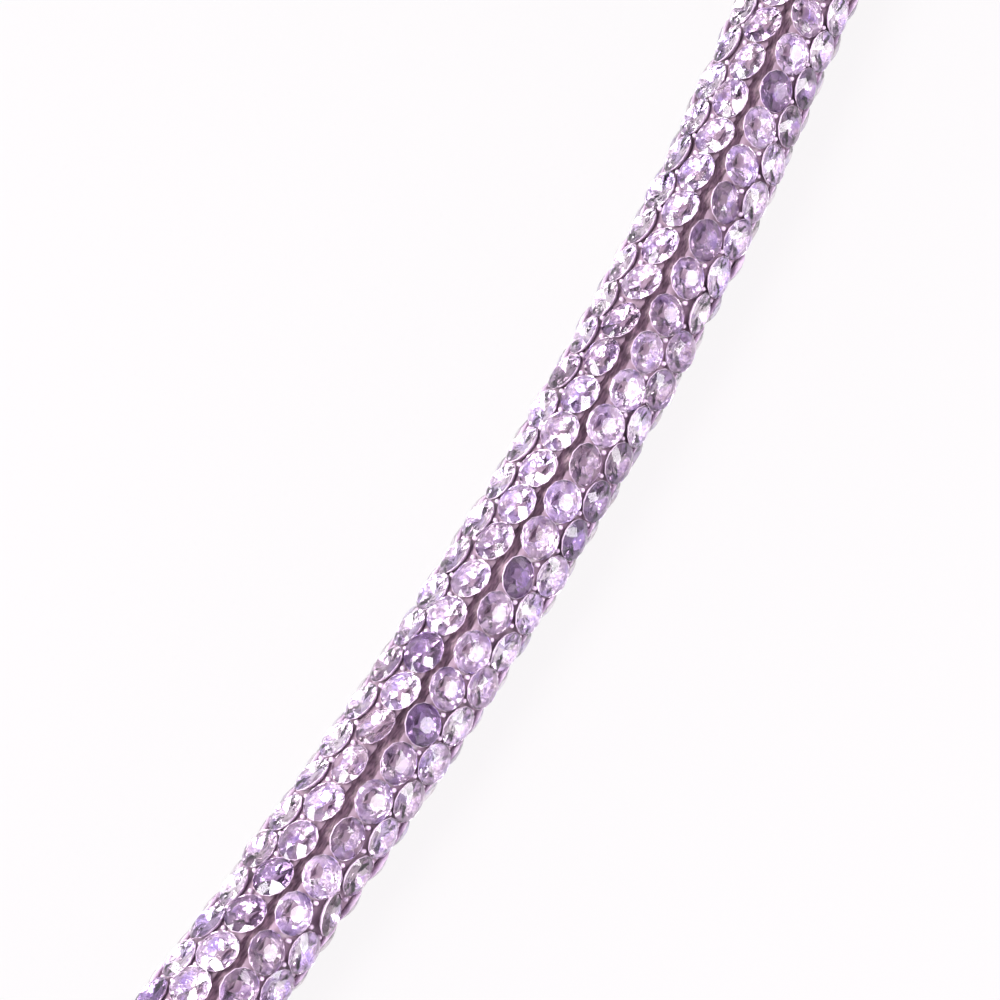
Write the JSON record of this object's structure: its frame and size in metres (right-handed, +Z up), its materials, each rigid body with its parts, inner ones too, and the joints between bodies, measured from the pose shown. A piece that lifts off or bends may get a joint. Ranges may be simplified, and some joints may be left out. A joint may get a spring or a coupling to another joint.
{
  "type": "rhinestone rope trim",
  "caption": "Rope trim of round faceted stones set round a soft core, lying in a gentle arc that runs on into a neat round coil.",
  "frame": {"origin": "middle of the whole trim's footprint, on the surface it lies on", "axes": "+Z up from the surface, +Y from the cut end of the run towards the coil, +X to the right"},
  "size_m": [0.0772, 0.1478, 0.0197],
  "materials": {
    "stone": "faceted pale lilac stone with a foiled back, high gloss",
    "setting": "translucent lilac moulded net, smooth",
    "core": "soft fibrous dark mauve cord, matt"
  },
  "bodies": {
    "root": {"banding_run": "setting", "core_run": "core", "rope_coil": "stone"}
  },
  "joints": []
}
